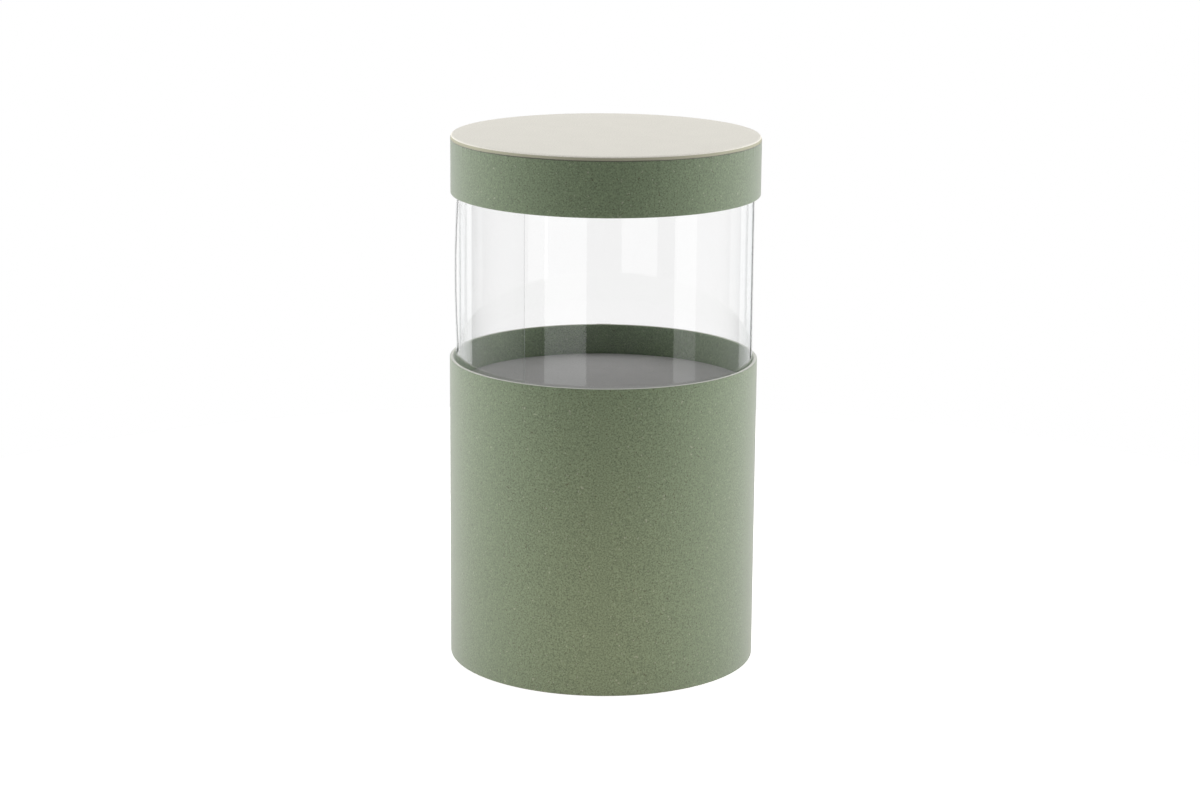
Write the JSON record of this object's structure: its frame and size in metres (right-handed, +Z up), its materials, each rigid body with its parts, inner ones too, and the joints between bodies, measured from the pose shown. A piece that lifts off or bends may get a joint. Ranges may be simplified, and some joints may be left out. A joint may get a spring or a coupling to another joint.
{
  "type": "cylindrical gift tube box",
  "caption": "Round paper-wrapped gift tube box: a deep base with a raised floor, a clear rolled sleeve standing in its mouth, and a shallow lid that lifts off.",
  "frame": {"origin": "centre of the base's underside, on the surface that the box stands on", "axes": "+Z up along the tube's axis, +Y to the back where the paper seams lie, +X to the right seen from the front"},
  "size_m": [0.2004, 0.2002, 0.345],
  "materials": {
    "green_paper": "uncoated recycled paper, fine speckle",
    "beige_paper": "uncoated paper, fine grain",
    "greyboard": "bare greyboard, matt",
    "clear_sheet": "clear polyester sheet, glossy"
  },
  "bodies": {
    "base": {"base_tube_board": "greyboard", "base_floor_board": "greyboard", "base_side_paper": "green_paper", "base_bottom_paper": "green_paper", "base_lining": "green_paper", "base_floor_lining": "green_paper", "riser_ring": "greyboard"},
    "platform": {"platform_board": "greyboard"},
    "sleeve": {"clear_sleeve": "clear_sheet"},
    "lid": {"lid_side_board": "greyboard", "lid_top_board": "greyboard", "lid_top_paper": "beige_paper", "lid_side_paper": "green_paper", "lid_lining": "green_paper", "lid_top_lining": "green_paper"}
  },
  "joints": [
    {"name": "platform_lift", "type": "slide", "parent": "base", "child": "platform", "axis": [0, 0, 1], "range_m": [0, 0.06]},
    {"name": "sleeve_lift", "type": "slide", "parent": "platform", "child": "sleeve", "axis": [0, 0, 1], "range_m": [0, 0.06]},
    {"name": "lid_lift", "type": "slide", "parent": "sleeve", "child": "lid", "axis": [0, 0, 1], "range_m": [0, 0.08]}
  ]
}
